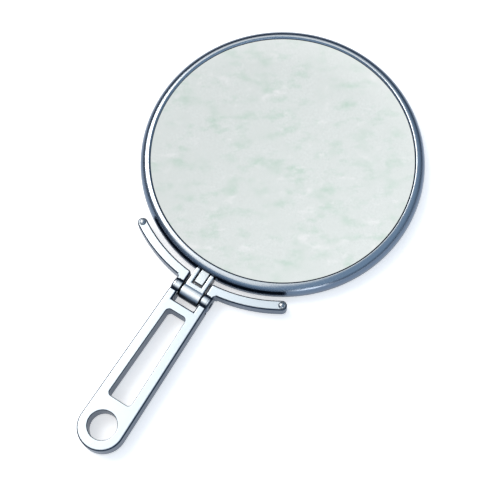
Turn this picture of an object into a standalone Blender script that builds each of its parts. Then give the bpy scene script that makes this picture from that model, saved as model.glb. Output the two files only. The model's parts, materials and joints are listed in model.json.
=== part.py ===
# Folding hand and stand mirror: a round double-sided head on a double hinge,
# a slotted handle with a hanging hole, and two curved arms that act as front feet.
# Metres. +Z is the side of the plain glass, +Y runs from the handle to the head.
# The mirror lies flat and open, centred in X and Y, on the plane Z = 0.

import math

import bmesh
import bpy
from mathutils import Matrix
from mathutils import Vector

# Rim
RIM_DIAMETER = 0.1500
RIM_THICKNESS = 0.0122
RIM_SLOPE_WIDTH = 0.0039
LIP_WIDTH = 0.0019
LIP_DROP = 0.0005
LIP_THICKNESS = 0.0005
LIP_OVERLAP = 0.0009
PARTING_GAP = 0.0003
TONGUE_FROM_OUTSIDE = 0.0017
TONGUE_WIDTH = 0.0010
TONGUE_HEIGHT = 0.0012

# Glasses, pads and core
GLASS_THICKNESS = 0.0020
GLASS_CHAMFER = 0.0003
MAGNIFIER_DEPTH = 0.0019
CORE_THICKNESS = 0.0010
CORE_EDGE_RADIUS = 0.0002
PAD_TO_GLASS_EDGE = 0.0011
BACK_PAD_WIDTH = 0.0110

# Fits shared by all pieces
SEAT_GAP = 0.0003
PIN_CLEARANCE = 0.0002
WASHER_GAP = 0.00025
BOSS_RISE = 0.0002
CUT_OVERRUN = 0.0020

# Tilt hinge between the head and the link
TILT_AXIS_OFFSET = 0.0033
LUG_WIDTH = 0.0042
LUG_THICKNESS = 0.0040
LUG_END_REACH = 0.0031
LUG_CORNER_RADIUS = 0.0006
SHANK_THICKNESS = 0.0022
SHANK_LENGTH = 0.0040
FOOT_LENGTH = 0.0150
FOOT_WIDTH = 0.0026
FOOT_THICKNESS = 0.0026
LUG_EDGE_RADIUS = 0.0003
TILT_PIN_DIAMETER = 0.0022
TILT_PIN_RECESS = 0.0003
TILT_WASHER_THICKNESS = 0.0004
TILT_WASHER_DIAMETER = 0.0040

# Link
AXIS_SPACING = 0.0091
LINK_WIDTH = 0.0106
YOKE_THICKNESS = 0.0076
YOKE_TIP_REACH = 0.0040
YOKE_EDGE_RADIUS = 0.0004
LUG_END_CLEARANCE = 0.0013
BARREL_DIAMETER = 0.0090
BARREL_EDGE_RADIUS = 0.0003

# Main hinge
MAIN_PIN_DIAMETER = 0.0030
MAIN_PIN_RECESS = 0.0002
PIN_EDGE_RADIUS = 0.0002
WASHER_THICKNESS = 0.0004
WASHER_DIAMETER = 0.0078
WASHER_EDGE_RADIUS = 0.0001
KNUCKLE_DIAMETER = 0.0098
KNUCKLE_WIDTH = 0.0028
KNUCKLE_NECK_THICKNESS = 0.0072
KNUCKLE_EDGE_RADIUS = 0.0003
CHEEK_WIDTH = 0.0014
CHEEK_EDGE_RADIUS = 0.0011

# Handle
HANDLE_LENGTH = 0.0928
HANDLE_THICKNESS = 0.0100
HANDLE_END_WIDTH = 0.0248
HANDLE_EDGE_RADIUS = 0.0007
PRONG_SETBACK = 0.0031
POCKET_CLEARANCE = 0.0036
POCKET_CORNER_RADIUS = 0.0005
CROSSBAR_WIDTH = 0.0050
WEB_WIDTH = 0.0070
SLOT_TOP_WIDTH = 0.0112
SLOT_END_WIDTH = 0.0132
SLOT_CORNER_RADIUS = 0.0020
HANGING_HOLE_DIAMETER = 0.0148
HANGING_HOLE_TO_END = 0.0129

# Arms
ARM_GAP = 0.0032
ARM_WIDTH = 0.0053
ARM_THICKNESS = 0.0080
ARM_EDGE_RADIUS = 0.0007
ARM_SWEEP = math.radians(31.5)
BUMPER_DIAMETER = 0.0032
BUMPER_RISE = 0.0010
BUMPER_SEAT_DEPTH = 0.0006
BUMPER_STEM_DIAMETER = 0.0016
BUMPER_STEM_LENGTH = 0.0024

# Facet counts
RING_STEPS = 72
PIN_STEPS = 16
BARREL_STEPS = 28
ARM_STEPS = 12
HANDLE_END_STEPS = 20
HOLE_STEPS = 28
CORNER_STEPS = 3
EDGE_STEPS = 2
CHAMFER_STEPS = 1
RIM_CURVE_STEPS = 6
LIP_CURVE_STEPS = 1
DOME_STEPS = 3
MAGNIFIER_RINGS = 4

# Places worked out from the sizes
RIM_RADIUS = RIM_DIAMETER / 2
HALF_RIM = RIM_THICKNESS / 2
CREST_RADIUS = RIM_RADIUS - RIM_SLOPE_WIDTH
LIP_BORE_RADIUS = CREST_RADIUS - LIP_WIDTH
GLASS_RADIUS = LIP_BORE_RADIUS + LIP_OVERLAP
GLASS_BORE_RADIUS = GLASS_RADIUS + SEAT_GAP
MAGNIFIER_CURVE_RADIUS = (GLASS_RADIUS**2 + MAGNIFIER_DEPTH**2) / (2 * MAGNIFIER_DEPTH)
TONGUE_OUTER_RADIUS = RIM_RADIUS - TONGUE_FROM_OUTSIDE
PAD_RADIUS = GLASS_RADIUS - PAD_TO_GLASS_EDGE
TILT_REACH = RIM_RADIUS + TILT_AXIS_OFFSET
HINGE_REACH = TILT_REACH + AXIS_SPACING
HEAD_Y = (HINGE_REACH + HANDLE_LENGTH - RIM_RADIUS) / 2
TILT_Y = HEAD_Y - TILT_REACH
HINGE_Y = HEAD_Y - HINGE_REACH
MID_Z = HALF_RIM
LIP_UNDERSIDE = HALF_RIM - LIP_DROP - LIP_THICKNESS
GLASS_OUTSIDE = LIP_UNDERSIDE - SEAT_GAP
GLASS_INSIDE = GLASS_OUTSIDE - GLASS_THICKNESS
PAD_START = CORE_THICKNESS / 2 + SEAT_GAP
YOKE_SLOT_WIDTH = LUG_WIDTH + 2 * (TILT_WASHER_THICKNESS + 2 * WASHER_GAP)
SLOT_FLOOR = LUG_END_REACH + LUG_END_CLEARANCE
YOKE_CORNER_REACH = math.hypot(YOKE_TIP_REACH, YOKE_THICKNESS / 2)
SCOOP_RADIUS = YOKE_CORNER_REACH + SEAT_GAP
BARREL_LENGTH = LINK_WIDTH + 2 * BOSS_RISE
KNUCKLE_INNER = BARREL_LENGTH / 2 + WASHER_THICKNESS + 2 * WASHER_GAP
KNUCKLE_OUTER = KNUCKLE_INNER + KNUCKLE_WIDTH
CHEEK_INNER = KNUCKLE_OUTER + SEAT_GAP
CHEEK_OUTER = CHEEK_INNER + CHEEK_WIDTH
KNUCKLE_CLEAR_RADIUS = KNUCKLE_DIAMETER / 2 + SEAT_GAP
ARM_INNER_RADIUS = RIM_RADIUS + ARM_GAP
ARM_OUTER_RADIUS = ARM_INNER_RADIUS + ARM_WIDTH
ARM_MID_RADIUS = ARM_INNER_RADIUS + ARM_WIDTH / 2

# Axes of a side profile: its first axis runs along Y, its second along Z, its depth along X
SIDE_ON = Matrix(((0, 0, 1, 0), (1, 0, 0, 0), (0, 1, 0, 0), (0, 0, 0, 1)))


# Start from an empty scene
def clear_scene():
    for obj in list(bpy.data.objects):
        bpy.data.objects.remove(obj, do_unlink=True)


# A plain finish for one kind of surface
def make_material(name, colour, metallic, roughness):
    material = bpy.data.materials.new(name)
    material.use_nodes = True
    shader = material.node_tree.nodes["Principled BSDF"]
    shader.inputs["Base Color"].default_value = (*colour, 1)
    shader.inputs["Metallic"].default_value = metallic
    shader.inputs["Roughness"].default_value = roughness
    return material


# An empty on a joint's axis, which carries the pieces that turn about it
def make_axis(name, y):
    axis = bpy.data.objects.new(name, None)
    axis.location = (0, y, MID_Z)
    bpy.context.collection.objects.link(axis)
    return axis


# Turn finished geometry into an object that hangs from an axis
def add_object(name, bm, material, axis, y):
    bmesh.ops.recalc_face_normals(bm, faces=bm.faces)
    mesh = bpy.data.meshes.new(name)
    bm.to_mesh(mesh)
    bm.free()
    mesh.shade_smooth()
    mesh.set_sharp_from_angle(angle=math.radians(35))
    mesh.materials.append(material)
    obj = bpy.data.objects.new(name, mesh)
    obj.parent = axis
    obj.location = Vector((0, y, MID_Z)) - axis.location
    bpy.context.collection.objects.link(obj)
    return obj


# A helper solid that is cut from a piece or joined to it
def combine(piece, name, bm, y, operation):
    helper = add_object(name, bm, piece.data.materials[0], piece.parent, y)
    helper.hide_render = True
    helper.display_type = "WIRE"
    modifier = piece.modifiers.new(name, "BOOLEAN")
    modifier.operation = operation
    modifier.solver = "EXACT"
    modifier.object = helper


# Points along an arc, both ends included
def arc(centre, radius, start, end, steps):
    points = []
    for i in range(steps + 1):
        angle = start + (end - start) * i / steps
        x = centre[0] + radius * math.cos(angle)
        y = centre[1] + radius * math.sin(angle)
        points.append((x, y))
    return points


# A full circle with the material inside it, turned half a facet so that no corner is on an axis
def circle(radius, steps, centre=(0, 0)):
    start = math.pi / steps
    return arc(centre, radius, start, start + 2 * math.pi, steps)[:-1]


# A full circle, with the material outside it
def bore(radius, steps, centre=(0, 0)):
    return circle(radius, steps, centre)[::-1]


# A four-sided outline with material on its left and every corner rounded
def rounded_quad(corners, radius):
    points = []
    for i, corner in enumerate(corners):
        here = Vector(corner)
        before = (Vector(corners[i - 1]) - here).normalized()
        after = (Vector(corners[(i + 1) % len(corners)]) - here).normalized()
        half = before.angle(after) / 2
        centre = here + (before + after).normalized() * radius / math.sin(half)
        first = here + before * radius / math.tan(half) - centre
        last = here + after * radius / math.tan(half) - centre
        start = math.atan2(first.y, first.x)
        turn = first.angle_signed(last) * -1
        points += arc(centre, radius, start, start + turn, CORNER_STEPS)
    return points


# Move an outline into the material on its left
def inset(points, distance):
    moved = []
    for i, point in enumerate(points):
        here = Vector(point)
        arriving = (here - Vector(points[i - 1])).normalized()
        leaving = (Vector(points[(i + 1) % len(points)]) - here).normalized()
        first = Vector((-arriving.y, arriving.x))
        second = Vector((-leaving.y, leaving.x))
        moved.append(here + (first + second) * distance / (1 + first.dot(second)))
    return moved


# A flat body with outlines of any number, its edges rounded on both faces
def plate(loops, thickness, edge_radius, edge_steps):
    bm = bmesh.new()
    half = thickness / 2
    levels = [(0, half - edge_radius)]
    for i in range(edge_steps):
        angle = math.pi / 2 * (i + 1) / edge_steps
        step_in = edge_radius * (1 - math.cos(angle))
        levels.append((step_in, half - edge_radius * (1 - math.sin(angle))))
    levels = [(step_in, -height) for step_in, height in levels[::-1]] + levels
    caps = ([], [])
    for loop in loops:
        rings = []
        for step_in, height in levels:
            points = inset(loop, step_in)
            rings.append([bm.verts.new((*point, height)) for point in points])
        count = len(loop)
        for lower, upper in zip(rings, rings[1:]):
            for i in range(count):
                j = (i + 1) % count
                bm.faces.new((lower[i], lower[j], upper[j], upper[i]))
        for cap, ring in zip(caps, (rings[0], rings[-1])):
            for i in range(count):
                cap.append(bm.edges.get((ring[i], ring[(i + 1) % count])))
    for cap in caps:
        bmesh.ops.triangle_fill(bm, use_beauty=True, use_dissolve=True, edges=cap)
    return bm


# A plate on edge: its outline lies in the YZ plane, its width along X is centred at x
def side_plate(loops, width, edge_radius, x, edge_steps=CHAMFER_STEPS):
    bm = plate(loops, width, edge_radius, edge_steps if edge_radius else 0)
    bmesh.ops.transform(bm, matrix=SIDE_ON, verts=bm.verts)
    bmesh.ops.translate(bm, vec=(x, 0, 0), verts=bm.verts)
    return bm


# A turned body about the Z axis from an outline of radius and height
def turned(outline, closed, steps):
    bm = bmesh.new()
    verts = [bm.verts.new((radius, 0, height)) for radius, height in outline]
    pairs = list(zip(verts, verts[1:]))
    if closed:
        pairs.append((verts[-1], verts[0]))
    edges = [bm.edges.new(pair) for pair in pairs]
    bmesh.ops.spin(
        bm,
        geom=verts + edges,
        cent=(0, 0, 0),
        axis=(0, 0, 1),
        angle=2 * math.pi,
        steps=steps,
        use_merge=True,
    )
    bmesh.ops.remove_doubles(bm, verts=bm.verts, dist=SEAT_GAP / 100)
    return bm


# A cutting box from its two opposite corners
def box(low, high):
    bm = bmesh.new()
    size = Vector(high) - Vector(low)
    middle = (Vector(high) + Vector(low)) / 2
    matrix = Matrix.Translation(middle) @ Matrix.Diagonal((*size, 1))
    bmesh.ops.create_cube(bm, size=1, matrix=matrix)
    return bm


# Rim shells: rounded outside, a lip over the glass, a tongue that enters the other shell
def rim_outline(side, ridge_gap, ridge_height):
    crest = CREST_RADIUS
    lip = LIP_BORE_RADIUS
    seam = PARTING_GAP / 2
    outline = []
    for i in range(RIM_CURVE_STEPS + 1):
        angle = math.pi / 2 * i / RIM_CURVE_STEPS
        radius = crest + (RIM_RADIUS - crest) * math.cos(angle)
        outline.append((radius, seam + (HALF_RIM - seam) * math.sin(angle)))
    for i in range(1, LIP_CURVE_STEPS + 1):
        angle = math.pi / 2 * i / LIP_CURVE_STEPS
        drop = LIP_DROP * (1 - math.cos(angle))
        outline.append((crest - (crest - lip) * math.sin(angle), HALF_RIM - drop))
    outline.append((lip, LIP_UNDERSIDE))
    outline.append((GLASS_BORE_RADIUS, LIP_UNDERSIDE))
    outline.append((GLASS_BORE_RADIUS, seam))
    inner = TONGUE_OUTER_RADIUS - TONGUE_WIDTH - ridge_gap
    outer = TONGUE_OUTER_RADIUS + ridge_gap
    outline.append((inner, seam))
    outline.append((inner, ridge_height))
    outline.append((outer, ridge_height))
    outline.append((outer, seam))
    return [(radius, side * height) for radius, height in outline]


def make_rim_shell(name, side, ridge_gap, ridge_height, material, axis):
    bm = turned(rim_outline(side, ridge_gap, ridge_height), True, RING_STEPS)
    shell = add_object(name, bm, material, axis, HEAD_Y)
    width = LINK_WIDTH + 4 * SEAT_GAP
    scoop = side_plate([circle(SCOOP_RADIUS, BARREL_STEPS)], width, 0, 0)
    combine(shell, name + "_hinge_scoop", scoop, TILT_Y, "DIFFERENCE")
    reach = LUG_WIDTH / 2 + SEAT_GAP
    height = SHANK_THICKNESS / 2 + SEAT_GAP
    low = (-reach, 0, -height)
    high = (reach, TILT_AXIS_OFFSET + RIM_RADIUS - GLASS_BORE_RADIUS + CUT_OVERRUN, height)
    combine(shell, name + "_shank_slot", box(low, high), TILT_Y, "DIFFERENCE")
    return shell


# Plain glass for the front
def make_front_mirror(material, axis):
    edge = circle(GLASS_RADIUS, RING_STEPS)
    bm = plate([edge], GLASS_THICKNESS, GLASS_CHAMFER, CHAMFER_STEPS)
    middle = (GLASS_OUTSIDE + GLASS_INSIDE) / 2
    bmesh.ops.translate(bm, vec=(0, 0, middle), verts=bm.verts)
    return add_object("front_mirror", bm, material, axis, HEAD_Y)


# How far the magnifying glass has sunk below its edge at one radius
def magnifier_depth(radius):
    fall = math.sqrt(MAGNIFIER_CURVE_RADIUS**2 - radius**2)
    return fall - math.sqrt(MAGNIFIER_CURVE_RADIUS**2 - GLASS_RADIUS**2)


# Magnifying glass for the back: one thickness, bent to a shallow bowl
def make_back_mirror(material, axis):
    edge = GLASS_RADIUS
    radii = [edge * i / MAGNIFIER_RINGS for i in range(MAGNIFIER_RINGS)]
    radii.append(edge - GLASS_CHAMFER)
    outside = [(radius, magnifier_depth(radius) - GLASS_OUTSIDE) for radius in radii]
    inside = [(radius, magnifier_depth(radius) - GLASS_INSIDE) for radius in radii]
    corners = [(edge, GLASS_CHAMFER - GLASS_OUTSIDE), (edge, -GLASS_CHAMFER - GLASS_INSIDE)]
    bm = turned(outside + corners + inside[::-1], False, RING_STEPS)
    return add_object("back_mirror", bm, material, axis, HEAD_Y)


# The room that the lug's foot takes between the two glasses
def relieve_for_foot(piece):
    reach = FOOT_LENGTH / 2 + SEAT_GAP
    height = FOOT_THICKNESS / 2 + SEAT_GAP
    low = (-reach, -CUT_OVERRUN, -height)
    high = (reach, foot_start() + FOOT_WIDTH + SEAT_GAP, height)
    combine(piece, piece.name + "_foot_relief", box(low, high), TILT_Y, "DIFFERENCE")


# Foam behind the front glass
def make_front_pad(material, axis):
    thickness = GLASS_INSIDE - SEAT_GAP - PAD_START
    edge = circle(PAD_RADIUS, RING_STEPS)
    bm = plate([edge], thickness, CORE_EDGE_RADIUS, CHAMFER_STEPS)
    bmesh.ops.translate(bm, vec=(0, 0, PAD_START + thickness / 2), verts=bm.verts)
    pad = add_object("front_foam_pad", bm, material, axis, HEAD_Y)
    relieve_for_foot(pad)
    return pad


# Foam ring behind the magnifying glass, tapered to its bend
def make_back_pad(material, axis):
    inner = PAD_RADIUS - BACK_PAD_WIDTH
    outer = PAD_RADIUS
    lowest = SEAT_GAP - GLASS_INSIDE
    outline = [
        (outer, -PAD_START),
        (outer, lowest + magnifier_depth(outer)),
        (inner, lowest + magnifier_depth(inner)),
        (inner, -PAD_START),
    ]
    bm = turned(outline, True, RING_STEPS)
    pad = add_object("back_foam_ring", bm, material, axis, HEAD_Y)
    relieve_for_foot(pad)
    return pad


# Stiff disc between the two pads
def make_core(material, axis):
    edge = circle(GLASS_RADIUS, RING_STEPS)
    bm = plate([edge], CORE_THICKNESS, CORE_EDGE_RADIUS, CHAMFER_STEPS)
    core = add_object("core_disc", bm, material, axis, HEAD_Y)
    relieve_for_foot(core)
    return core


# How far from the tilt axis the lug's thick tongue ends and its foot begins
def tongue_end():
    half = LUG_THICKNESS / 2
    return math.sqrt(SCOOP_RADIUS**2 - half**2) - SEAT_GAP


def foot_start():
    return tongue_end() + SHANK_LENGTH


# Lug: flat tongue with a blunt end, thin shank through the rim, cross foot held between the shells
def make_lug(material, axis):
    half = LUG_THICKNESS / 2
    shank = SHANK_THICKNESS / 2
    far = foot_start() + FOOT_WIDTH / 2
    corner = LUG_CORNER_RADIUS
    corner_y = corner - LUG_END_REACH
    outline = arc((corner_y, half - corner), corner, math.pi / 2, math.pi, CORNER_STEPS)
    outline += arc((corner_y, corner - half), corner, math.pi, 3 * math.pi / 2, CORNER_STEPS)
    outline += [(tongue_end(), -half), (tongue_end(), -shank), (far, -shank)]
    outline += [(far, shank), (tongue_end(), shank), (tongue_end(), half)]
    hole = bore(TILT_PIN_DIAMETER / 2 + PIN_CLEARANCE, PIN_STEPS)
    bm = side_plate([outline, hole], LUG_WIDTH, LUG_EDGE_RADIUS, 0)
    lug = add_object("rim_lug", bm, material, axis, TILT_Y)
    low = (-FOOT_LENGTH / 2, foot_start(), -FOOT_THICKNESS / 2)
    high = (FOOT_LENGTH / 2, foot_start() + FOOT_WIDTH, FOOT_THICKNESS / 2)
    combine(lug, "rim_lug_foot", box(low, high), TILT_Y, "UNION")
    return lug


# Link: flat yoke round the lug, round barrel on the main pin
def make_link(material, axis):
    half = LINK_WIDTH / 2
    slot = YOKE_SLOT_WIDTH / 2
    tip = AXIS_SPACING + YOKE_TIP_REACH
    floor = AXIS_SPACING - SLOT_FLOOR
    root = BARREL_DIAMETER / 4
    outline = [(-half, root), (half, root), (half, tip), (slot, tip)]
    outline += [(slot, floor), (-slot, floor), (-slot, tip), (-half, tip)]
    bm = plate([outline], YOKE_THICKNESS, YOKE_EDGE_RADIUS, EDGE_STEPS)
    link = add_object("link_yoke", bm, material, axis, HINGE_Y)
    barrel = circle(BARREL_DIAMETER / 2, BARREL_STEPS)
    bm = side_plate([barrel], BARREL_LENGTH, BARREL_EDGE_RADIUS, 0)
    combine(link, "link_barrel", bm, HINGE_Y, "UNION")
    through = LINK_WIDTH + 2 * CUT_OVERRUN
    main_hole = circle(MAIN_PIN_DIAMETER / 2 + PIN_CLEARANCE, PIN_STEPS)
    combine(link, "link_main_bore", side_plate([main_hole], through, 0, 0), HINGE_Y, "DIFFERENCE")
    tilt_hole = circle(TILT_PIN_DIAMETER / 2 + PIN_CLEARANCE, PIN_STEPS)
    combine(link, "link_tilt_bore", side_plate([tilt_hole], through, 0, 0), TILT_Y, "DIFFERENCE")
    return link


# A plain pin along X
def make_pin(name, diameter, length, material, axis, y):
    bm = side_plate([circle(diameter / 2, PIN_STEPS)], length, PIN_EDGE_RADIUS, 0)
    return add_object(name, bm, material, axis, y)


# A flat washer along X
def make_washer(name, outer, pin, thickness, x, material, axis, y):
    rim = circle(outer / 2, PIN_STEPS)
    hole = bore(pin / 2 + PIN_CLEARANCE, PIN_STEPS)
    bm = side_plate([rim, hole], thickness, WASHER_EDGE_RADIUS, x)
    return add_object(name, bm, material, axis, y)


# Handle: tapered frame with a round end, two prongs at the hinge, a long slot and a hanging hole
def handle_outlines():
    top = CHEEK_OUTER
    end = HANDLE_END_WIDTH / 2
    end_y = end - HANDLE_LENGTH
    prong = -PRONG_SETBACK
    pocket = KNUCKLE_INNER + BOSS_RISE
    floor = -BARREL_DIAMETER / 2 - POCKET_CLEARANCE
    corner = POCKET_CORNER_RADIUS
    outline = arc((0, end_y), end, -math.pi, 0, HANDLE_END_STEPS)
    outline += [(top, prong), (pocket, prong)]
    outline += arc((pocket - corner, floor + corner), corner, 0, -math.pi / 2, CORNER_STEPS)
    outline += arc((corner - pocket, floor + corner), corner, -math.pi / 2, -math.pi, CORNER_STEPS)
    outline += [(-pocket, prong), (-top, prong)]
    hole_y = HANGING_HOLE_TO_END - HANDLE_LENGTH
    slot_start = floor - CROSSBAR_WIDTH
    slot_end = hole_y + HANGING_HOLE_DIAMETER / 2 + WEB_WIDTH
    near = SLOT_TOP_WIDTH / 2
    far = SLOT_END_WIDTH / 2
    corners = [(-near, slot_start), (near, slot_start), (far, slot_end), (-far, slot_end)]
    slot = rounded_quad(corners, SLOT_CORNER_RADIUS)
    hole = bore(HANGING_HOLE_DIAMETER / 2, HOLE_STEPS, (0, hole_y))
    return [outline, slot, hole]


# One knuckle of the handle: an eye round the main pin, its neck sunk in the prong,
# its outer end left long for the relief to trim
def knuckle(side):
    radius = KNUCKLE_DIAMETER / 2
    neck = KNUCKLE_NECK_THICKNESS / 2
    start = math.asin(neck / radius)
    root = -PRONG_SETBACK - HANDLE_EDGE_RADIUS - CUT_OVERRUN
    outline = arc((0, 0), radius, start - math.pi, math.pi - start, BARREL_STEPS)
    outline += [(root, neck), (root, -neck)]
    hole = bore(MAIN_PIN_DIAMETER / 2 + PIN_CLEARANCE, PIN_STEPS)
    width = KNUCKLE_WIDTH + CHEEK_WIDTH / 2
    middle = side * (KNUCKLE_INNER + width / 2)
    return side_plate([outline, hole], width, KNUCKLE_EDGE_RADIUS, middle)


def make_handle(material, axis):
    bm = plate(handle_outlines(), HANDLE_THICKNESS, HANDLE_EDGE_RADIUS, EDGE_STEPS)
    handle = add_object("handle", bm, material, axis, HINGE_Y)
    for side, word in ((-1, "left"), (1, "right")):
        combine(handle, "handle_knuckle_" + word, knuckle(side), HINGE_Y, "UNION")
        # Room for the arm's cheek beside the knuckle
        width = CHEEK_OUTER - KNUCKLE_OUTER + CUT_OVERRUN
        middle = side * (KNUCKLE_OUTER + width / 2)
        relief = circle(KNUCKLE_CLEAR_RADIUS, BARREL_STEPS)
        bm = side_plate([relief], width, 0, middle)
        combine(handle, "handle_cheek_relief_" + word, bm, HINGE_Y, "DIFFERENCE")
    return handle


# Arm outline seen from above, for the arm on the +X side, measured from the head's centre
def arm_outline():
    inner = ARM_INNER_RADIUS
    outer = ARM_OUTER_RADIUS
    down = -math.pi / 2
    inner_start = down + math.asin(KNUCKLE_INNER / inner)
    outer_end = down + math.asin(CHEEK_OUTER / outer)
    tip = down + ARM_SWEEP
    centre = (ARM_MID_RADIUS * math.cos(tip), ARM_MID_RADIUS * math.sin(tip))
    ear_end = KNUCKLE_DIAMETER / 4 - HINGE_REACH
    outline = [(KNUCKLE_INNER, ear_end), (CHEEK_OUTER, ear_end)]
    outline += arc((0, 0), outer, outer_end, tip, ARM_STEPS)
    round_end = arc(centre, ARM_WIDTH / 2, tip, tip + math.pi, 2 * CORNER_STEPS)
    outline += round_end[1:-1]
    outline += arc((0, 0), inner, tip, inner_start, ARM_STEPS)
    return outline


def bumper_place(side):
    return (
        side * ARM_MID_RADIUS * math.sin(ARM_SWEEP),
        -ARM_MID_RADIUS * math.cos(ARM_SWEEP),
    )


# Arm: curved foot beside the rim, an ear, and a cheek that laps the handle's knuckle
def make_arm(name, side, material, axis):
    outline = arm_outline()
    if side < 0:
        outline = [(-x, y) for x, y in outline[::-1]]
    bm = plate([outline], ARM_THICKNESS, ARM_EDGE_RADIUS, EDGE_STEPS)
    arm = add_object(name, bm, material, axis, HEAD_Y)
    # The cheek is a disc on the main pin, its inner end left long for the hollow to trim
    start = (KNUCKLE_OUTER + CHEEK_INNER) / 2 - CHEEK_EDGE_RADIUS
    width = CHEEK_OUTER + BOSS_RISE - start
    cheek = circle(KNUCKLE_DIAMETER / 2, BARREL_STEPS)
    middle = side * (start + width / 2)
    bm = side_plate([cheek], width, CHEEK_EDGE_RADIUS, middle, EDGE_STEPS)
    combine(arm, name + "_cheek", bm, HINGE_Y, "UNION")
    # The ear ends in a hollow round the knuckle
    width = CHEEK_INNER - KNUCKLE_INNER + CUT_OVERRUN
    hollow = circle(KNUCKLE_CLEAR_RADIUS, BARREL_STEPS)
    bm = side_plate([hollow], width, 0, side * (CHEEK_INNER - width / 2))
    combine(arm, name + "_knuckle_hollow", bm, HINGE_Y, "DIFFERENCE")
    # Bore for the pressed pin
    hole = circle(MAIN_PIN_DIAMETER / 2 + PIN_CLEARANCE, PIN_STEPS)
    bm = side_plate([hole], CHEEK_WIDTH + 2 * CUT_OVERRUN, 0, side * CHEEK_INNER)
    combine(arm, name + "_pin_bore", bm, HINGE_Y, "DIFFERENCE")
    # Counterbore and stem hole of the bumper
    bm = turned(bumper_outline(PIN_CLEARANCE, 0, CUT_OVERRUN), False, PIN_STEPS)
    bmesh.ops.translate(bm, vec=(*bumper_place(side), 0), verts=bm.verts)
    combine(arm, name + "_bumper_seat", bm, HEAD_Y, "DIFFERENCE")
    return arm


# Bumper outline, widened by a margin and raised off its seat: a stem and a flange,
# and above them a dome, or a straight bore as high as the headroom
def bumper_outline(margin, lift, headroom):
    radius = BUMPER_DIAMETER / 2 + margin
    stem = BUMPER_STEM_DIAMETER / 2 + margin
    top = ARM_THICKNESS / 2
    seat = top - BUMPER_SEAT_DEPTH + lift
    outline = [(0, seat - BUMPER_STEM_LENGTH), (stem, seat - BUMPER_STEM_LENGTH)]
    outline += [(stem, seat), (radius, seat)]
    if headroom:
        return outline + [(radius, top + headroom), (0, top + headroom)]
    for i in range(DOME_STEPS):
        angle = math.pi / 2 * i / DOME_STEPS
        outline.append((radius * math.cos(angle), top + BUMPER_RISE * math.sin(angle)))
    outline.append((0, top + BUMPER_RISE))
    return outline


# Bumper: domed plug on the arm's tip
def make_bumper(name, side, material, axis):
    bm = turned(bumper_outline(0, SEAT_GAP, 0), False, PIN_STEPS)
    bmesh.ops.translate(bm, vec=(*bumper_place(side), 0), verts=bm.verts)
    return add_object(name, bm, material, axis, HEAD_Y)


def build():
    clear_scene()
    silver = make_material("satin_silver", (0.62, 0.66, 0.69), 1, 0.35)
    slate = make_material("satin_slate_silver", (0.36, 0.41, 0.47), 1, 0.38)
    glass = make_material("silvered_glass", (0.86, 0.89, 0.87), 1, 0.03)
    foam = make_material("white_foam", (0.80, 0.80, 0.78), 0, 0.90)
    core = make_material("grey_board", (0.30, 0.30, 0.31), 0, 0.70)
    steel = make_material("pin_steel", (0.55, 0.56, 0.57), 1, 0.25)
    nylon = make_material("black_nylon", (0.02, 0.02, 0.02), 0, 0.50)

    handle_axis = make_axis("handle_frame", HINGE_Y)
    link_axis = make_axis("link_axis", HINGE_Y)
    arm_axis = make_axis("arm_axis", HINGE_Y)
    tilt_axis = make_axis("tilt_axis", TILT_Y)

    # Head
    make_rim_shell("rim_front", 1, 0, -TONGUE_HEIGHT, slate, tilt_axis)
    depth = TONGUE_HEIGHT + SEAT_GAP
    make_rim_shell("rim_back", -1, SEAT_GAP, depth, slate, tilt_axis)
    make_front_mirror(glass, tilt_axis)
    make_back_mirror(glass, tilt_axis)
    make_front_pad(foam, tilt_axis)
    make_back_pad(foam, tilt_axis)
    make_core(core, tilt_axis)
    make_lug(silver, tilt_axis)

    # Link
    make_link(silver, link_axis)
    length = LINK_WIDTH - 2 * TILT_PIN_RECESS
    make_pin("tilt_pin", TILT_PIN_DIAMETER, length, steel, link_axis, TILT_Y)
    for side, word in ((-1, "left"), (1, "right")):
        thickness = TILT_WASHER_THICKNESS
        x = side * (LUG_WIDTH / 2 + WASHER_GAP + thickness / 2)
        sizes = (TILT_WASHER_DIAMETER, TILT_PIN_DIAMETER, thickness, x)
        make_washer("tilt_washer_" + word, *sizes, nylon, link_axis, TILT_Y)

    # Handle
    make_handle(silver, handle_axis)
    for side, word in ((-1, "left"), (1, "right")):
        x = side * (BARREL_LENGTH / 2 + WASHER_GAP + WASHER_THICKNESS / 2)
        sizes = (WASHER_DIAMETER, MAIN_PIN_DIAMETER, WASHER_THICKNESS, x)
        make_washer("hinge_washer_" + word, *sizes, nylon, handle_axis, HINGE_Y)

    # Arms, which carry the main pin
    length = 2 * (CHEEK_OUTER - MAIN_PIN_RECESS)
    make_pin("main_pin", MAIN_PIN_DIAMETER, length, steel, arm_axis, HINGE_Y)
    for side, word in ((-1, "left"), (1, "right")):
        make_arm("arm_" + word, side, silver, arm_axis)
        make_bumper("bumper_" + word, side, steel, arm_axis)


build()
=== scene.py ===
import json
import math

import bpy
from mathutils import Matrix, Vector


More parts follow.
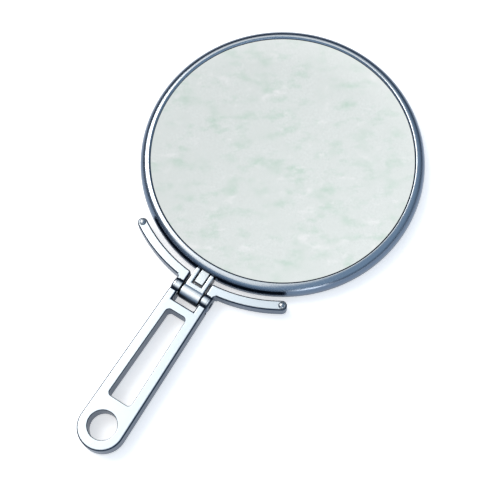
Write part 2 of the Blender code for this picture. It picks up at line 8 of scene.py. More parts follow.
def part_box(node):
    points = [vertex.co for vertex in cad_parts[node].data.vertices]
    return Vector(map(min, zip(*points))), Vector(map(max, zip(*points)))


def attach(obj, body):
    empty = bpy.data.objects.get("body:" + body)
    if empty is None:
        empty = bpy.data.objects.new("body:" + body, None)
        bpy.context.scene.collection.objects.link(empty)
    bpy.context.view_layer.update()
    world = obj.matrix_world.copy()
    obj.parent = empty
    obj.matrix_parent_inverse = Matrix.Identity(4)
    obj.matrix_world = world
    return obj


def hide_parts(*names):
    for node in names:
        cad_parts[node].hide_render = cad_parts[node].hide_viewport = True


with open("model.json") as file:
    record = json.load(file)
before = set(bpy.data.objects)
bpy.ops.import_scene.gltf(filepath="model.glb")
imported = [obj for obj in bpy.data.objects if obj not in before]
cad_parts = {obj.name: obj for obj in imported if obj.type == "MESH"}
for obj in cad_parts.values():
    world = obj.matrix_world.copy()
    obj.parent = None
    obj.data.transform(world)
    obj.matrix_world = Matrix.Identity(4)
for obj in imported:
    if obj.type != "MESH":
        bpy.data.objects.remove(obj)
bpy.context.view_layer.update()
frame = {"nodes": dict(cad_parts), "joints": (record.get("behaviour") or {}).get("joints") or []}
joints = {joint["name"]: joint for joint in frame["joints"]}

mm = 0.001


# The rim: two die-cast rings, turned smooth and plated in a satin silver, that snap
# together over the edges of both glasses; their dark slate look is painted reflection. Their outer
# sides are rounded, a fine parting line runs round between them, and a scoop clears the link of
# the tilt hinge.
def linear(hex_colour):
    """A colour written as sRGB hex, as the linear values that a shader takes."""
    channels = [int(hex_colour[i : i + 2], 16) / 255 for i in (1, 3, 5)]
    return (*[c / 12.92 if c <= 0.04045 else ((c + 0.055) / 1.055) ** 2.4 for c in channels], 1)


def set_input(tree, node, name, value):
    """Sets an input of a node to a value, or links another node's socket to it."""
    if isinstance(value, bpy.types.NodeSocket):
        tree.links.new(value, node.inputs[name])
    else:
        node.inputs[name].default_value = value


def add_node(tree, kind, settings):
    """A node of one kind, with its own settings and its inputs."""
    node = tree.nodes.new(kind)
    for name, value in settings.items():
        if isinstance(name, str) and hasattr(node, name):
            setattr(node, name, value)
        else:
            set_input(tree, node, name, value)
    return node


def coordinates(tree, kind):
    return add_node(tree, "ShaderNodeTexCoord", {}).outputs[kind]


def noise(tree, spot, width, detail, **inputs):
    """Noise with patches about this wide."""
    settings = {"Vector": spot, "Scale": 1 / width, "Detail": detail, **inputs}
    return add_node(tree, "ShaderNodeTexNoise", settings).outputs["Fac"]


def blend(tree, amount, first, second):
    """A colour that goes from the first to the second as the amount goes from 0 to 1."""
    settings = {"data_type": "RGBA", 0: amount, 6: first, 7: second}
    return add_node(tree, "ShaderNodeMix", settings).outputs[2]


def remap(tree, value, low, high, low_to=0, high_to=1):
    """A value whose range from low to high is turned into another, and held at its ends."""
    limits = {"From Min": low, "From Max": high, "To Min": low_to, "To Max": high_to}
    return add_node(tree, "ShaderNodeMapRange", {"Value": value, **limits}).outputs["Result"]


def work_out(tree, operation, *terms):
    """The result of a sum on numbers and other nodes' values."""
    settings = {"operation": operation, **dict(enumerate(terms))}
    return add_node(tree, "ShaderNodeMath", settings).outputs[0]


def work_out_vector(tree, operation, *terms):
    """The same on vectors, as a node, whose result is its Vector or its Value."""
    settings = {"operation": operation, **dict(enumerate(terms))}
    return add_node(tree, "ShaderNodeVectorMath", settings)


def add_bump(tree, shader, height, strength, depth, socket="Normal"):
    """Gives a shader fine relief."""
    settings = {"Height": height, "Strength": strength, "Distance": depth}
    set_input(tree, shader, socket, add_node(tree, "ShaderNodeBump", settings).outputs["Normal"])


def new_finish(name, inputs):
    """A material with a Principled shader set up with these values, its tree and its shader."""
    material = bpy.data.materials.new(name)
    material.use_nodes = True
    tree = material.node_tree
    shader = tree.nodes["Principled BSDF"]
    for socket, value in inputs.items():
        set_input(tree, shader, socket, value)
    return material, tree, shader


def plated_metal(name, light, dark, roughness, painted_dark_from, painted_dark_to):
    """Blasted, plated zinc alloy: a soft sheen clouded by handling, with painted shade in corners
    and a painted dark reflection at low angles.
    """
    material, tree, shader = new_finish(name, {"Metallic": 1})
    spot = coordinates(tree, "Object")
    # The blasted grain is 0.05 mm in fact, and is drawn coarser so that a close view shows it
    grain = noise(tree, spot, 0.35 * mm, 2)
    # Handling leaves clouds about a fingertip wide
    cloud = noise(tree, spot, 14 * mm, 4)
    # Painted reflection: the plating is painted slate where it is seen at a low angle
    low_angle = add_node(tree, "ShaderNodeLayerWeight", {"Blend": 0.5}).outputs["Facing"]
    painted_reflection_amount = remap(tree, low_angle, painted_dark_from, painted_dark_to)
    with_painted_reflection = blend(tree, painted_reflection_amount, blend(tree, cloud, light, dark), linear("#3E4A5A"))
    # Painted shade: the colour is darkened to near black in gaps and low down beside the table,
    # where shade falls
    shade_reach = 6 * mm
    painted_shade_occlusion = add_node(tree, "ShaderNodeAmbientOcclusion", {"samples": 6, "Distance": shade_reach})
    unshaded = remap(tree, painted_shade_occlusion.outputs["AO"], 0.2, 0.9)
    set_input(tree, shader, "Base Color", blend(tree, unshaded, linear("#2E3742"), with_painted_reflection))
    # The clouds are a little rougher too
    gloss = remap(tree, cloud, 0.3, 0.7, roughness - 0.04, roughness + 0.05)
    set_input(tree, shader, "Roughness", gloss)
    add_bump(tree, shader, grain, 0.06, 0.02 * mm)
    return material


def overlay(material, mix):
    """Puts the colour that a function makes of a finish's colour in its place."""
    tree = material.node_tree
    shader = tree.nodes["Principled BSDF"]
    plain = shader.inputs["Base Color"].links[0].from_socket
    set_input(tree, shader, "Base Color", mix(tree, plain))


def deselect():
    bpy.ops.object.select_all(action="DESELECT")


def select_only(piece):
    deselect()
    piece.select_set(True)
    bpy.context.view_layer.objects.active = piece


def edit(piece, mode="FACE"):
    """Opens one piece in edit mode with nothing selected in it."""
    select_only(piece)
    bpy.ops.object.mode_set(mode="EDIT")
    bpy.ops.mesh.select_mode(type=mode)
    bpy.ops.mesh.select_all(action="DESELECT")


def close_edit():
    bpy.ops.object.mode_set(mode="OBJECT")


def pick(piece, kind, test):
    """Selects the verts, edges or faces of a piece that is being edited which pass a test."""
    bpy.ops.mesh.select_all(action="DESELECT")
    bpy.ops.object.mode_set(mode="OBJECT")
    mesh = piece.data
    for part in getattr(mesh, kind):
        part.select = bool(test(mesh, part))
    bpy.ops.object.mode_set(mode="EDIT")


def edge_ends(mesh, edge):
    return [mesh.vertices[i].co for i in edge.vertices]


def settle(piece, name):
    """Names a primitive and puts its place, turn and size into its mesh."""
    select_only(piece)
    bpy.ops.object.transform_apply(location=True, rotation=True, scale=True)
    piece.name = name
    piece.data.name = name
    return piece


def block(name, low, high):
    """A block from its lowest to its highest corner."""
    size = [b - a for a, b in zip(low, high)]
    middle = [(a + b) / 2 for a, b in zip(low, high)]
    deselect()
    bpy.ops.mesh.primitive_cube_add(size=1, location=middle, scale=size)
    return settle(bpy.context.object, name)


def round_bar(name, radius, length, centre, axis, sides):
    """A round bar along X or Z about its centre."""
    turn = (0, math.pi / 2, 0) if axis == "X" else (0, 0, 0)
    deselect()
    bpy.ops.mesh.primitive_cylinder_add(
        vertices=sides, radius=radius, depth=length, location=centre, rotation=turn
    )
    return settle(bpy.context.object, name)


def finish_with(piece, kind, **settings):
    """Adds one modifier to a piece and applies it."""
    select_only(piece)
    modifier = piece.modifiers.new(kind.title(), kind)
    for name, value in settings.items():
        setattr(modifier, name, value)
    bpy.ops.object.modifier_apply(modifier=modifier.name)


def cut(piece, tool):
    """Cuts a tool from a piece, then throws the tool away."""
    finish_with(piece, "BOOLEAN", object=tool, operation="DIFFERENCE", solver="EXACT")
    bpy.data.objects.remove(tool, do_unlink=True)


def join(piece, other):
    """Melts another solid into a piece."""
    finish_with(piece, "BOOLEAN", object=other, operation="UNION", solver="EXACT")
    bpy.data.objects.remove(other, do_unlink=True)


def soften(piece, width, segments=3, angle=35):
    """Rounds the sharp edges of a piece."""
    finish_with(
        piece,
        "BEVEL",
        width=width,
        segments=segments,
        limit_method="ANGLE",
        angle_limit=math.radians(angle),
        use_clamp_overlap=False,
        harden_normals=False,
    )


def smooth(piece, angle=30):
    """Shades a piece smooth, creased where it turns sharply, with its flat faces kept flat."""
    select_only(piece)
    bpy.ops.object.shade_smooth_by_angle(angle=math.radians(angle))
    finish_with(piece, "WEIGHTED_NORMAL", weight=100, keep_sharp=True)


def place(piece, material, node, body):
    """Gives a finished piece its material and its body, and hides its CAD node."""
    piece.data.materials.clear()
    piece.data.materials.append(material)
    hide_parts(node)
    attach(piece, body)


hinge = Vector(joints["main_hinge"]["pos_m"])
tilt = Vector(joints["head_tilt"]["pos_m"])
rim_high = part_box("rim_front")[1]
rim_radius = rim_high.x
head = Vector((0, rim_high.y - rim_radius, hinge.z))
half_rim = rim_high.z - head.z

crest_radius = 70.3 * mm
roll = 0.6 * mm
lip_radius = 69.2 * mm
lip_height = half_rim - 1 * mm
lip_edge = 0.1 * mm
glass_bore = 70.4 * mm
seam = 0.15 * mm
scoop_radius = 5.82 * mm
scoop_half_width = 5.9 * mm
lip_turns = (12, 24, 36, 46)
shank_slot = Vector((2.4 * mm, 8 * mm, 1.4 * mm))


def painted_slate_outside(tree, plain):
    # Painted reflection: the colour is light over the crest and is painted slate down the outer
    # side
    painted_bright_within, painted_slate_beyond = 72.6 * mm, 74 * mm
    from_head = work_out_vector(tree, "SUBTRACT", coordinates(tree, "Object"), head)
    level = work_out_vector(tree, "MULTIPLY", from_head.outputs["Vector"], (1, 1, 0))
    distance = work_out_vector(tree, "LENGTH", level.outputs["Vector"]).outputs["Value"]
    outside = remap(tree, distance, painted_bright_within, painted_slate_beyond)
    return blend(tree, outside, plain, linear("#5C6B7E"))


silver_painted_slate = plated_metal(
    "satin_slate_plating", linear("#D3DAE0"), linear("#C9D1D8"), 0.22, 0.1, 0.4
)
overlay(silver_painted_slate, painted_slate_outside)


def rim_shell(name, side):
    """The front or the back shell, whose side is 1 or -1."""
    # The section starts as a circle, squeezed to the ellipse that the outer side follows
    deselect()
    bpy.ops.mesh.primitive_circle_add(vertices=72, radius=1, rotation=(math.pi / 2, 0, 0))
    shell = settle(bpy.context.object, name)
    edit(shell, "VERT")
    bpy.ops.mesh.select_all(action="SELECT")
    bpy.ops.transform.resize(value=(rim_radius - crest_radius, 1, half_rim - seam))
    slack = mm / 100
    pick(shell, "vertices", lambda mesh, v: v.co.z < -slack or v.co.x < -slack)
    bpy.ops.mesh.delete(type="VERT")
    bpy.ops.mesh.select_all(action="SELECT")
    bpy.ops.transform.translate(value=(crest_radius, 0, seam))
    # From the crest: over the lip, under it, down the glass's seat to the parting face
    pick(shell, "vertices", lambda mesh, v: v.co.z > half_rim - slack)
    turns = [math.radians(angle) for angle in lip_turns]
    outline = [
        (crest_radius - roll * math.sin(turn), half_rim - roll * (1 - math.cos(turn)))
        for turn in turns
    ] + [
        (lip_radius + lip_edge, lip_height + 2 * lip_edge),
        (lip_radius, lip_height + lip_edge),
        (lip_radius, lip_height),
        (glass_bore, lip_height),
        (glass_bore, seam),
    ]
    x, z = crest_radius, half_rim
    for next_x, next_z in outline:
        step = {"value": (next_x - x, 0, next_z - z)}
        bpy.ops.mesh.extrude_vertices_move(TRANSFORM_OT_translate=step)
        x, z = next_x, next_z
    # The parting face closes the section, which is then spun round
    ends = [Vector((rim_radius, 0, seam)), Vector((glass_bore, 0, seam))]
    pick(shell, "vertices", lambda mesh, v: any((v.co - end).length < slack for end in ends))
    bpy.ops.mesh.edge_face_add()
    bpy.ops.mesh.select_all(action="SELECT")
    bpy.ops.mesh.spin(steps=192, angle=2 * math.pi, center=(0, 0, 0), axis=(0, 0, 1))
    bpy.ops.mesh.select_all(action="SELECT")
    bpy.ops.mesh.remove_doubles(threshold=slack)
    if side < 0:
        bpy.ops.transform.resize(value=(1, 1, -1), center_override=(0, 0, 0))
    bpy.ops.transform.translate(value=head)
    bpy.ops.mesh.normals_make_consistent(inside=False)
    close_edit()
    cut(shell, round_bar("scoop", scoop_radius, 2 * scoop_half_width, tilt, "X", 64))
    slot_low = tilt - Vector((shank_slot.x, 0, shank_slot.z))
    cut(shell, block("shank_slot", slot_low, tilt + shank_slot))
    smooth(shell, 32)
    place(shell, silver_painted_slate, name, "head")


rim_shell("rim_front", 1)
rim_shell("rim_back", -1)


# The glasses: float glass, ground at the edge and silvered behind. The front one is
# flat. The back one is bent to a shallow bowl, which magnifies.
def silvered_glass(name):
    """Silvered glass: almost no scatter, but for dust and a few dried wipe marks."""
    glass = {"Metallic": 1, "Coat Weight": 0.6, "Coat IOR": 1.52, "Coat Roughness": 0.02}
    material, tree, shader = new_finish(name, glass)
    spot = coordinates(tree, "Object")
    # Wipe marks as broad as a fingertip, and dust specks drawn 0.6 mm wide so that they show
    smear = noise(tree, spot, 22 * mm, 5, Distortion=1.2)
    dust = noise(tree, spot, 0.6 * mm, 3)
    tint = blend(tree, smear, linear("#F2F5F5"), linear("#EBF0EE"))
    set_input(tree, shader, "Base Color", tint)
    set_input(tree, shader, "Roughness", remap(tree, smear, 0.45, 0.75, 0.01, 0.035))
    add_bump(tree, shader, dust, 0.02, 0.01 * mm, "Coat Normal")
    return material


mirror_silver = silvered_glass("silvered_float_glass")
glass_thickness = 2 * mm
glass_edge = 0.3 * mm
bowl_depth = 1.89 * mm


def glass_disc(name, rise):
    """A disc of glass that fills its CAD node's box, pushed in at the middle by the rise."""
    low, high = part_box(name)
    radius = high.x
    outer = low.z if rise else high.z
    inner = outer + (glass_thickness if rise else -glass_thickness)
    middle = (head.x, head.y, (outer + inner) / 2)
    disc = round_bar(name, radius, glass_thickness, middle, "Z", 160)
    edit(disc)
    pick(disc, "polygons", lambda mesh, face: abs(face.normal.z) > 0.9)
    rings = 10
    for _ in range(rings):
        bpy.ops.mesh.inset(thickness=radius / (rings + 1), depth=0)
    close_edit()
    if rise:
        for vert in disc.data.vertices:
            reach = (vert.co - head).xy.length
            vert.co.z += rise * (1 - (reach / radius) ** 2)
    soften(disc, glass_edge, 2, 60)
    smooth(disc, 15)
    place(disc, mirror_silver, name, "head")


glass_disc("front_mirror", 0)
glass_disc("back_mirror", bowl_depth)


# The filling between the glasses: a foam pad, a foam ring and a board disc, all hidden.
# The foam's face shows its cells, and the board's its pressed fibres.
def filling(name, light, dark, speck_width, roughness):
    """A dull sheet material with a speckle of cells or fibres."""
    material, tree, shader = new_finish(name, {"Roughness": roughness})
    cells = {"Vector": coordinates(tree, "Object"), "Scale": 1 / speck_width}
    speckle = add_node(tree, "ShaderNodeTexVoronoi", cells).outputs["Distance"]
    set_input(tree, shader, "Base Color", blend(tree, speckle, light, dark))
    add_bump(tree, shader, speckle, 0.3, 0.1 * mm)
    return material


def dress(node, material):
    """Gives a CAD node that stays as it is a better material."""
    mesh = frame["nodes"][node].data
    mesh.materials.clear()
    mesh.materials.append(material)


foam = filling("closed_cell_foam", linear("#EDEDE8"), linear("#D9D9D2"), 0.5 * mm, 0.9)
board = filling("pressed_grey_board", linear("#97979A"), linear("#86868A"), 0.8 * mm, 0.75)
dress("front_foam_pad", foam)
dress("back_foam_ring", foam)
dress("core_disc", board)


# The lug: a die-cast tongue, flat above and below and blunt at its end. Its thin shank
# passes between the rim's shells, and its cross foot is trapped behind them.
burnished_silver = plated_metal(
    "burnished_silver_plating", linear("#E6ECEF"), linear("#DCE3E7"), 0.3, 0.5, 0.8
)

lug_half_width = 2.3 * mm
lug_half_thickness = 3 * mm
lug_end = 3.1 * mm
tongue_reach = 5.1 * mm
lug_end_rounding = 0.6 * mm
lug_edge = 0.25 * mm
shank_half = Vector((1.9 * mm, 4 * mm, 1.1 * mm))
shank_middle = tilt + Vector((0, 7 * mm, 0))
foot_half = Vector((7.5 * mm, 1.3 * mm, 1.3 * mm))
foot_middle = tilt + Vector((0, 10.45 * mm, 0))
foot_edge = 0.2 * mm
tilt_bore_radius = 1.3 * mm
# A bore's tool is long enough to pass right through any piece
right_through = 40 * mm


def across_lug_end(mesh, edge):
    ends = edge_ends(mesh, edge)
    return all(v.y < tilt.y for v in ends) and abs(ends[0].x - ends[1].x) > lug_half_width


lug = block(
    "rim_lug",
    tilt + Vector((-lug_half_width, -lug_end, -lug_half_thickness)),
    tilt + Vector((lug_half_width, tongue_reach, lug_half_thickness)),
)
edit(lug, "EDGE")
pick(lug, "edges", across_lug_end)
bpy.ops.mesh.bevel(offset=lug_end_rounding, segments=6, affect="EDGES")
close_edit()
soften(lug, lug_edge, 3)
join(lug, block("shank", shank_middle - shank_half, shank_middle + shank_half))
foot = block("foot", foot_middle - foot_half, foot_middle + foot_half)
soften(foot, foot_edge, 2)
join(lug, foot)
cut(lug, round_bar("tilt_bore", tilt_bore_radius, right_through, tilt, "X", 32))
smooth(lug)
place(lug, burnished_silver, "rim_lug", "head")


# The link: one die-cast piece, a flat fork that holds the lug between its two prongs and
# a round barrel that turns on the main pin.
link_half_width = 5.3 * mm
yoke_half_thickness = 3.8 * mm
yoke_tip = 13.1 * mm
yoke_edge = 0.5 * mm
slot_half_width = 3 * mm
slot_floor = 4.7 * mm
barrel_radius = 4.5 * mm
barrel_half_length = 5.5 * mm
barrel_edge = 0.3 * mm
main_bore_radius = 1.7 * mm

link = block(
    "link_yoke",
    hinge + Vector((-link_half_width, 0, -yoke_half_thickness)),
    hinge + Vector((link_half_width, yoke_tip, yoke_half_thickness)),
)
cut(link, block(
    "lug_slot",
    hinge + Vector((-slot_half_width, slot_floor, -2 * yoke_half_thickness)),
    hinge + Vector((slot_half_width, 2 * yoke_tip, 2 * yoke_half_thickness)),
))
soften(link, yoke_edge, 3)
barrel = round_bar("barrel", barrel_radius, 2 * barrel_half_length, hinge, "X", 64)
soften(barrel, barrel_edge, 2, 60)
join(link, barrel)
cut(link, round_bar("main_bore", main_bore_radius, right_through, hinge, "X", 32))
cut(link, round_bar("tilt_bore", tilt_bore_radius, right_through, tilt, "X", 32))
smooth(link)
place(link, burnished_silver, "link_yoke", "link")


# The pins and washers: ground steel pins with broken edges, and thin black nylon washers
# pressed between the moving faces so that the hinges hold where they are set.
def ground_steel(name):
    """Centreless-ground steel: fine rings round the pin, bright and fairly sharp."""
    material, tree, shader = new_finish(name, {"Metallic": 1})
    # A wave repeats after 0.31 of this width, so the rings lie about 0.13 mm apart
    wave_width = 0.4 * mm
    wave = {"Vector": coordinates(tree, "Object"), "Scale": 1 / wave_width, "Distortion": 1}
    rings = add_node(tree, "ShaderNodeTexWave", wave).outputs["Fac"]
    tone = blend(tree, rings, linear("#C9CCCE"), linear("#B4B8BB"))
    set_input(tree, shader, "Base Color", tone)
    set_input(tree, shader, "Roughness", remap(tree, rings, 0, 1, 0.16, 0.28))
    return material


pin_steel = ground_steel("ground_pin_steel")
nylon = filling("black_nylon", linear("#1B1B1C"), linear("#242425"), 0.4 * mm, 0.5)
pin_edge = 0.2 * mm


def pin(name, body):
    """A pin that fills its CAD node's box."""
    low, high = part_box(name)
    radius = (high.z - low.z) / 2
    bar = round_bar(name, radius, high.x - low.x, (low + high) / 2, "X", 48)
    soften(bar, pin_edge, 3, 60)
    smooth(bar)
    place(bar, pin_steel, name, body)


pin("main_pin", "stand_arms")
pin("tilt_pin", "link")
for washer in ("tilt_washer_left", "tilt_washer_right", "hinge_washer_left", "hinge_washer_right"):
    dress(washer, nylon)


# The handle: one casting, tapered a little wider towards its round end, with a long slot
# and a hanging hole through it. Two knuckles at its forked end take the main pin.
def painted_dark_walls(tree, plain):
    # Painted reflection and shade: the flat faces keep the plating's colour, the walls are painted
    # slate, and the rounded edges between are painted a darker slate
    normal = {"Vector": coordinates(tree, "Normal")}
    up = add_node(tree, "ShaderNodeSeparateXYZ", normal).outputs["Z"]
    upright = work_out(tree, "ABSOLUTE", up)
    rounded = remap(tree, upright, 0.2, 0.5)
    slate = blend(tree, rounded, linear("#4B5A6D"), linear("#313C4A"))
    return blend(tree, remap(tree, upright, 0.9, 0.99), slate, plain)


bright_silver = plated_metal(
    "satin_silver_plating", linear("#D9E1E6"), linear("#CED7DD"), 0.36, 0.9, 1
)
overlay(bright_silver, painted_dark_walls)

handle_low, handle_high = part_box("handle")
handle_end_y = handle_low.y
end_radius = handle_high.x
handle_half_thickness = 5 * mm
prong_y = hinge.y - 3.1 * mm
prong_half_width = 10.9 * mm
pocket_half_width = 6.6 * mm
pocket_floor_y = hinge.y - 8.1 * mm
pocket_open_y = hinge.y + 10 * mm
slot_start_y = pocket_floor_y - 5 * mm
slot_end_y = slot_start_y - 52.4 * mm
slot_start_half = 5.6 * mm
slot_end_half = 6.6 * mm
slot_corner = 2 * mm
hole_radius = 7.4 * mm
hole_y = handle_end_y + 12.9 * mm
knuckle_radius = 4.9 * mm
knuckle_clear = 5.2 * mm
knuckle_inner = 6.4 * mm
knuckle_outer = 9.35 * mm
neck_half = 3.6 * mm
neck_length = 6.1 * mm
knuckle_edge = 0.3 * mm
casting_edge = 1 * mm
mouth_edge = 0.5 * mm


def tapered_block(name, near_y, far_y, near_half, far_half, half_height, corner, steps, ends):
    """A block that is wider at its far end, with rounded corners there or at both ends."""
    z = hinge.z
    tool = block(name, (-near_half, far_y, z - half_height), (near_half, near_y, z + half_height))
    edit(tool)
    pick(tool, "polygons", lambda mesh, face: face.normal.y < -0.9)
    bpy.ops.transform.resize(value=(far_half / near_half, 1, 1), center_override=(0, far_y, z))

    def at_corner(mesh, edge):
        first, second = edge_ends(mesh, edge)
        chosen = ends == "both" or max(first.y, second.y) < near_y - mm
        return chosen and abs(first.z - second.z) > half_height

    bpy.ops.mesh.select_mode(type="EDGE")
    pick(tool, "edges", at_corner)
    bpy.ops.mesh.bevel(offset=corner, segments=steps, affect="EDGES")
    close_edit()
    return tool


def clean(piece):
    """Melts the doubled points that a cut has left and clears its stray flat edges."""
    edit(piece)
    bpy.ops.mesh.select_all(action="SELECT")
    bpy.ops.mesh.remove_doubles(threshold=mm / 200)
    bpy.ops.mesh.dissolve_limited(angle_limit=math.radians(0.2))
    close_edit()


def on_mouth(mesh, edge):
    """Whether an edge runs round the slot's or the hole's mouth, on either flat face."""
    ends = edge_ends(mesh, edge)
    slack = 0.01 * mm
    if abs(sum(v.z - hinge.z for v in ends)) < 2 * (handle_half_thickness - slack):
        return False
    hole = Vector((0, hole_y))
    return all((v.xy - hole).length < hole_radius + slack for v in ends) or all(
        slot_end_y - slack < v.y < slot_start_y + slack and abs(v.x) < slot_end_half + slack
        for v in ends
    )


# A corner of the end's whole radius would leave no flat between, so it is a hair smaller
handle = tapered_block(
    "handle", prong_y, handle_end_y, prong_half_width, end_radius, handle_half_thickness,
    end_radius * 0.999, 24, "far",
)
cut(handle, block(
    "pocket",
    (-pocket_half_width, pocket_floor_y, hinge.z - right_through / 2),
    (pocket_half_width, pocket_open_y, hinge.z + right_through / 2),
))
cut(handle, tapered_block(
    "slot", slot_start_y, slot_end_y, slot_start_half, slot_end_half, right_through / 4,
    slot_corner, 8, "both",
))
hole_middle = (0, hole_y, hinge.z)
cut(handle, round_bar("hanging_hole", hole_radius, right_through, hole_middle, "Z", 96))
clean(handle)
edit(handle, "EDGE")
pick(handle, "edges", on_mouth)
bpy.ops.mesh.bevel(offset=mouth_edge, segments=3, affect="EDGES")
close_edit()
soften(handle, casting_edge, 5)
# Each knuckle is made too long, and the relief for the arm's cheek cuts it to length
spare = 0.7 * mm
relief_width = 4 * mm
for side in (-1, 1):
    middle = hinge + Vector((side * (knuckle_inner + knuckle_outer + spare) / 2, 0, 0))
    width = knuckle_outer - knuckle_inner + spare
    eye = round_bar("knuckle", knuckle_radius, width, middle, "X", 64)
    soften(eye, knuckle_edge, 2, 60)
    # The neck is a hair narrower than the eye, so that their flat sides don't coincide
    half = Vector((width / 2 - 0.01 * mm, 0, neck_half))
    neck = block("neck", middle - half - Vector((0, neck_length, 0)), middle + half)
    join(eye, neck)
    join(handle, eye)
    shoulder = hinge + Vector((side * (knuckle_outer + relief_width / 2), 0, 0))
    cut(handle, round_bar("cheek_relief", knuckle_clear, relief_width, shoulder, "X", 64))
cut(handle, round_bar("pin_bore", main_bore_radius, right_through, hinge, "X", 32))
smooth(handle)
place(handle, bright_silver, "handle", "handle")


# The arms: two curved castings that hug the rim and serve as front feet. Each has an ear
# whose domed cheek laps the handle's knuckle on the main pin. A slit parts it from the knuckle.
arm_inner = 78.2 * mm
arm_width = 5.3 * mm
arm_middle = arm_inner + arm_width / 2
arm_half_thickness = 4 * mm
arm_sweep = math.radians(31.5)
ear_foot_y = hinge.y + 2.45 * mm
ear_outer = 10.9 * mm
gap_reach = 10 * mm
cheek_inner = 9.5 * mm
cheek_outer = 11.1 * mm
cheek_rounding = 1.1 * mm
cheek_root = cheek_inner - 1.5 * mm
hollow_width = cheek_inner - knuckle_inner + 2 * mm
bumper_seat_radius = 1.8 * mm
bumper_seat_depth = 0.6 * mm
stem_hole_radius = 1 * mm
stem_hole_depth = 3.1 * mm


def arm(name, side):
    """The arm on one side, -1 or 1. It gives the middle of the arm's tip."""
    # A square section is spun from behind the ear round to the tip, which a round bar ends
    start = head + Vector((0, -arm_middle, 0))
    deselect()
    bpy.ops.mesh.primitive_plane_add(size=1, location=start, rotation=(0, math.pi / 2, 0))
    piece = settle(bpy.context.object, name)
    edit(piece)
    bpy.ops.mesh.select_all(action="SELECT")
    section = (1, arm_width, 2 * arm_half_thickness)
    bpy.ops.transform.resize(value=section, center_override=start)
    bpy.ops.mesh.spin(steps=48, angle=-side * arm_sweep, center=head, axis=(0, 0, 1))
    bpy.ops.mesh.select_all(action="SELECT")
    bpy.ops.mesh.normals_make_consistent(inside=False)
    close_edit()
    tip_x = side * arm_middle * math.sin(arm_sweep)
    tip = head + Vector((tip_x, -arm_middle * math.cos(arm_sweep), 0))
    join(piece, round_bar("tip", arm_width / 2, 2 * arm_half_thickness, tip, "Z", 64))
    ends = sorted((side * knuckle_inner, side * ear_outer))
    ear_low = Vector((ends[0], ear_foot_y, hinge.z - arm_half_thickness))
    ear_high = Vector((ends[1], head.y - arm_middle, hinge.z + arm_half_thickness))
    join(piece, block("ear", ear_low, ear_high))
    gap = sorted((-side * gap_reach, side * knuckle_inner))
    gap_low = Vector((gap[0], ear_foot_y - mm, hinge.z - gap_reach))
    gap_high = Vector((gap[1], head.y, hinge.z + gap_reach))
    cut(piece, block("link_gap", gap_low, gap_high))
    clean(piece)
    soften(piece, casting_edge, 5)
    # The cheek's disc, domed on its outer face, and the hollow round the knuckle
    centre = hinge + Vector((side * (cheek_root + cheek_outer) / 2, 0, 0))
    disc = round_bar("cheek", knuckle_radius, cheek_outer - cheek_root, centre, "X", 64)
    soften(disc, cheek_rounding, 6, 60)
    join(piece, disc)
    hollow = hinge + Vector((side * (cheek_inner - hollow_width / 2), 0, 0))
    cut(piece, round_bar("knuckle_hollow", knuckle_clear, hollow_width, hollow, "X", 64))
    cut(piece, round_bar("pin_bore", main_bore_radius, right_through, centre, "X", 32))
    # Half of each tool stands out above the bumper's seat and the deeper hole for its stem
    top = Vector((tip.x, tip.y, hinge.z + arm_half_thickness))
    cut(piece, round_bar("bumper_seat", bumper_seat_radius, 2 * bumper_seat_depth, top, "Z", 48))
    cut(piece, round_bar("stem_hole", stem_hole_radius, 2 * stem_hole_depth, top, "Z", 32))
    smooth(piece)
    place(piece, bright_silver, name, "stand_arms")
    return tip


tips = {"left": arm("arm_left", -1), "right": arm("arm_right", 1)}


# The bumpers: small turned steel plugs, pressed into the arms' tips, on which the stand's
# front feet rest.
bumper_collar = 0.3 * mm
bumper_stem_radius = 0.8 * mm


def bumper(name, tip):
    """A plug that fills its CAD node's box: a dome, a short collar and a thinner stem."""
    low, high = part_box(name)
    radius = (high.x - low.x) / 2
    top = hinge.z + arm_half_thickness
    middle = (tip.x, tip.y, top)
    dome = (radius, radius, high.z - top)
    deselect()
    bpy.ops.mesh.primitive_uv_sphere_add(
        segments=48, ring_count=24, radius=1, location=middle, scale=dome
    )
    plug = settle(bpy.context.object, name)
    edit(plug, "VERT")
    slack = mm / 100
    pick(plug, "vertices", lambda mesh, v: v.co.z < top - slack)
    bpy.ops.mesh.delete(type="VERT")
    pick(plug, "edges", lambda mesh, e: all(abs(v.z - top) < slack for v in edge_ends(mesh, e)))
    collar = {"value": (0, 0, -bumper_collar)}
    bpy.ops.mesh.extrude_region_move(TRANSFORM_OT_translate=collar)
    bpy.ops.mesh.extrude_region_move()
    shrink = bumper_stem_radius / radius
    bpy.ops.transform.resize(value=(shrink, shrink, 1), center_override=middle)
    stem = {"value": (0, 0, low.z - top + bumper_collar)}
    bpy.ops.mesh.extrude_region_move(TRANSFORM_OT_translate=stem)
    bpy.ops.mesh.edge_face_add()
    bpy.ops.mesh.select_all(action="SELECT")
    bpy.ops.mesh.normals_make_consistent(inside=False)
    close_edit()
    smooth(plug, 40)
    place(plug, pin_steel, name, "stand_arms")


bumper("bumper_left", tips["left"])
bumper("bumper_right", tips["right"])


# The studio: a sheet of white paper under one soft lamp at the left. The sky is a pale,
# mottled ceiling over the left half, and a dull blue wall at the right and round the horizon.
deselect()
bpy.ops.mesh.primitive_plane_add(size=6, location=(0, 0, -0.2 * mm))
floor = bpy.context.object
floor.name = "floor"
paper, paper_tree, paper_shader = new_finish(
    "white_paper", {"Roughness": 0.9, "Specular IOR Level": 0, "Emission Color": (1, 1, 1, 1)}
)
# The paper's fibres lie in clouds about 9 mm across
fibre = noise(paper_tree, coordinates(paper_tree, "Object"), 9 * mm, 4)
sheet = blend(paper_tree, fibre, linear("#FAFAFA"), linear("#F5F5F5"))
set_input(paper_tree, paper_shader, "Base Color", sheet)
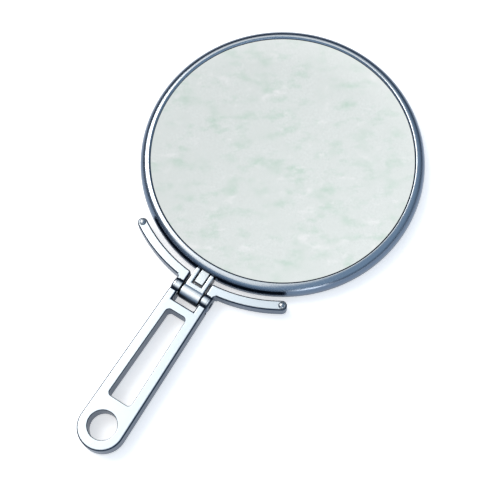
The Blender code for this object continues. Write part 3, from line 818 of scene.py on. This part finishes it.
# The sheet is a little lighter where it is seen, straight or in the metal, than the lamp makes it
rays = add_node(paper_tree, "ShaderNodeLightPath", {}).outputs
seen = work_out(paper_tree, "ADD", rays["Is Camera Ray"], rays["Is Glossy Ray"])
seen = work_out(paper_tree, "ADD", seen, rays["Is Transmission Ray"])
lift = work_out(paper_tree, "MULTIPLY", seen, 0.6)
set_input(paper_tree, paper_shader, "Emission Strength", lift)
floor.data.materials.append(paper)

world = bpy.data.worlds.new("studio")
world.use_nodes = True
bpy.context.scene.world = world
sky = world.node_tree
sky.nodes.clear()
aim = coordinates(sky, "Generated")
aim_parts = add_node(sky, "ShaderNodeSeparateXYZ", {0: aim}).outputs


def points_to(direction):
    """How nearly a way through the sky runs in a direction, up to 1."""
    return work_out_vector(sky, "DOT_PRODUCT", aim, direction).outputs["Value"]


# Where the glass looks, the ceiling's paint is mottled: green clouds, pale spots and fine
# grain. Their widths are parts of the sky's radius, and the clouds are drawn out one way
streaks = {"vector_type": "TEXTURE", "Rotation": (0, 0, math.radians(32)), "Scale": (1.9, 1, 1)}
streaked = add_node(sky, "ShaderNodeMapping", {**streaks, "Vector": aim}).outputs["Vector"]
cloud = noise(sky, streaked, 1 / 110, 5, Roughness=0.6)
spots = noise(sky, streaked, 1 / 150, 3, Roughness=0.5)
grain = noise(sky, aim, 1 / 700, 2)
green = blend(sky, remap(sky, cloud, 0.5, 0.78), linear("#EDF0F0"), linear("#CFE3D8"))
paint = blend(sky, remap(sky, spots, 0.6, 0.76), green, linear("#FBFAFC"))
# It is lit from the right and a little uneven
falling = remap(sky, points_to((0.98, -0.2, 0)), -0.32, -0.145, 0.96, 1.09)
shade = work_out(sky, "MULTIPLY", falling, remap(sky, grain, 0, 1, 0.9, 1.1))
mottled = work_out_vector(sky, "MULTIPLY", paint, shade).outputs["Vector"]
# Round that patch the ceiling is plain white
off_glass = remap(sky, points_to((-0.183, 0.265, 0.947)), 0.989, 0.976)
ceiling = blend(sky, off_glass, mottled, (1.12, 1.12, 1.12, 1))
# The ceiling is a long rectangle at the left, whose right edge slants away below the glass
height = work_out(sky, "MAXIMUM", aim_parts["Z"], 0.05)
across = work_out(sky, "DIVIDE", aim_parts["X"], height)
along = work_out(sky, "DIVIDE", aim_parts["Y"], height)
slant = work_out(sky, "MINIMUM", along, 0.28)
slanted = work_out(sky, "MULTIPLY_ADD", slant, 0.3, across)


def within(ratio, middle, half):
    """1 inside a band and 0 outside it, with a soft edge."""
    softness = 0.03
    off = work_out(sky, "ABSOLUTE", work_out(sky, "SUBTRACT", ratio, middle))
    return remap(sky, off, half - softness, half + softness, 1, 0)


overhead = work_out(sky, "MULTIPLY", within(slanted, -0.49, 0.514), within(along, 0.05, 0.95))
# Slate walls stand round it, lighter to the right, with a small window low at the lower right
rightward = remap(sky, aim_parts["X"], -0.6, 0)
wall = blend(sky, rightward, linear("#5F6F84"), linear("#7F96AF"))
window = remap(sky, points_to((0.74, -0.665, 0.1)), 0.985, 0.993, 0, 4)
room = blend(sky, overhead, wall, ceiling)
lit_room = work_out_vector(sky, "ADD", room, window).outputs["Vector"]
background = add_node(sky, "ShaderNodeBackground", {"Strength": 1, "Color": lit_room})
add_node(sky, "ShaderNodeOutputWorld", {0: background.outputs[0]})

lamp_data = bpy.data.lights.new("softbox", "AREA")
lamp_data.shape = "DISK"
lamp_data.size = 1.1
lamp_data.energy = 14
lamp = bpy.data.objects.new("softbox", lamp_data)
lamp.location = head + Vector((-1, 0, 1.2))
lamp.rotation_euler = (head - lamp.location).to_track_quat("-Z", "Y").to_euler()
bpy.context.scene.collection.objects.link(lamp)

# The camera stands where the photo was taken from, about 0.65 m from the glass
camera_data = bpy.data.cameras.new("camera")
camera_data.lens = 88.06
camera_data.sensor_width = 36
camera = bpy.data.objects.new("camera", camera_data)
right = Vector((0.8458, 0.5333, -0.0148))
up = Vector((-0.5010, 0.8035, 0.3215))
back = Vector((0.1834, -0.2646, 0.9468))
turn = Matrix((right, up, back)).transposed().to_4x4()
stand = head + Vector((127.68, -218.04, 596.32)) * mm
camera.matrix_world = Matrix.Translation(stand) @ turn
bpy.context.scene.collection.objects.link(camera)
bpy.context.scene.camera = camera
bpy.context.scene.view_settings.view_transform = "Standard"
